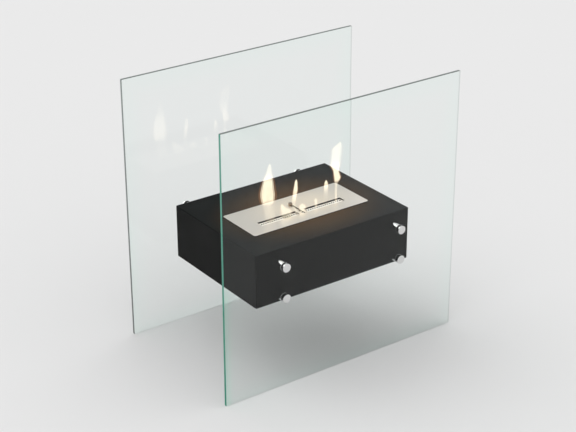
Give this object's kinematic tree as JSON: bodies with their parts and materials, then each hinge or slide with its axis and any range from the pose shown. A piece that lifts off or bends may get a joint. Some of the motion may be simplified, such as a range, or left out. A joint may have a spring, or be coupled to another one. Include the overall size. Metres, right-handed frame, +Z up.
{
  "type": "bioethanol fireplace",
  "caption": "Freestanding bioethanol fireplace: a black steel firebox held between tall glass panels on metal standoffs, with a lift-out fuel block under a sliding shutter.",
  "frame": {"origin": "on the floor, in the middle between the two glass panels", "axes": "+X along the width of the panels, -Y to the front, +Z up"},
  "size_m": [0.6, 0.384, 0.6],
  "materials": {
    "glass": "clear polished",
    "black_coat": "satin black coat",
    "brushed_steel": "fine brushed",
    "polished_steel": "mirror polished",
    "screw_steel": "plain zinc",
    "gasket": "matte",
    "wool": "matte fibre"
  },
  "bodies": {
    "stand": {"glass_front": "glass", "glass_back": "glass", "firebox_shell": "black_coat", "firebox_base": "black_coat", "base_screw_1": "screw_steel", "base_screw_2": "screw_steel", "base_screw_3": "screw_steel", "base_screw_4": "screw_steel", "standoff_front_upper_left_barrel": "polished_steel", "standoff_front_upper_left_inner_gasket": "gasket", "standoff_front_upper_left_outer_gasket": "gasket", "standoff_front_upper_left_cap": "polished_steel", "standoff_front_upper_left_screw": "screw_steel", "standoff_front_upper_right_barrel": "polished_steel", "standoff_front_upper_right_inner_gasket": "gasket", "standoff_front_upper_right_outer_gasket": "gasket", "standoff_front_upper_right_cap": "polished_steel", "standoff_front_upper_right_screw": "screw_steel", "standoff_front_lower_left_barrel": "polished_steel", "standoff_front_lower_left_inner_gasket": "gasket", "standoff_front_lower_left_outer_gasket": "gasket", "standoff_front_lower_left_cap": "polished_steel", "standoff_front_lower_left_screw": "screw_steel", "standoff_front_lower_right_barrel": "polished_steel", "standoff_front_lower_right_inner_gasket": "gasket", "standoff_front_lower_right_outer_gasket": "gasket", "standoff_front_lower_right_cap": "polished_steel", "standoff_front_lower_right_screw": "screw_steel", "standoff_back_upper_left_barrel": "polished_steel", "standoff_back_upper_left_inner_gasket": "gasket", "standoff_back_upper_left_outer_gasket": "gasket", "standoff_back_upper_left_cap": "polished_steel", "standoff_back_upper_left_screw": "screw_steel", "standoff_back_upper_right_barrel": "polished_steel", "standoff_back_upper_right_inner_gasket": "gasket", "standoff_back_upper_right_outer_gasket": "gasket", "standoff_back_upper_right_cap": "polished_steel", "standoff_back_upper_right_screw": "screw_steel", "standoff_back_lower_left_barrel": "polished_steel", "standoff_back_lower_left_inner_gasket": "gasket", "standoff_back_lower_left_outer_gasket": "gasket", "standoff_back_lower_left_cap": "polished_steel", "standoff_back_lower_left_screw": "screw_steel", "standoff_back_lower_right_barrel": "polished_steel", "standoff_back_lower_right_inner_gasket": "gasket", "standoff_back_lower_right_outer_gasket": "gasket", "standoff_back_lower_right_cap": "polished_steel", "standoff_back_lower_right_screw": "screw_steel"},
    "burner": {"burner_plate": "brushed_steel", "fuel_tank": "brushed_steel", "shutter_rail_left": "brushed_steel", "shutter_rail_right": "brushed_steel", "wool_pad": "wool"},
    "shutter": {"shutter_lid": "brushed_steel", "shutter_knob": "polished_steel"}
  },
  "joints": [
    {"name": "burner_lift", "type": "slide", "parent": "stand", "child": "burner", "axis": [0, 0, 1], "range_m": [0, 0.12]},
    {"name": "shutter_slide", "type": "slide", "parent": "burner", "child": "shutter", "axis": [0, -1, 0], "range_m": [0, 0.023]}
  ]
}
